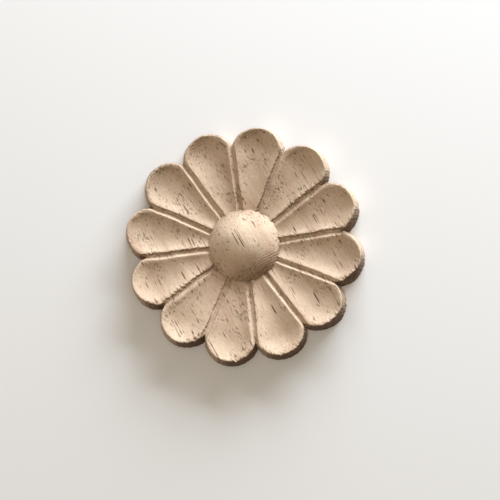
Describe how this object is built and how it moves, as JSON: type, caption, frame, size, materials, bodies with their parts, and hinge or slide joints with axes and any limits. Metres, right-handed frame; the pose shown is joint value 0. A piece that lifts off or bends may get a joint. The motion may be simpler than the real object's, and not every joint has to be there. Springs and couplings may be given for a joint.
{
  "type": "carved wood rosette applique",
  "caption": "Round carved wood rosette applique: scooped petals around a smooth raised dome, with V grooves between the petals, a flared rim and a flat back for gluing or pinning",
  "frame": {"origin": "centre of the flat back, at the bottom of the part as it lies on it", "axes": "+Z out of the back through the dome, +Y along the middle of one petal, +X completes the right-handed set"},
  "size_m": [0.06, 0.06, 0.0065],
  "materials": {
    "bare_wood": "bare, machine carved, unsanded and unfinished"
  },
  "bodies": {
    "root": {"carved_rosette": "bare_wood"}
  },
  "joints": []
}
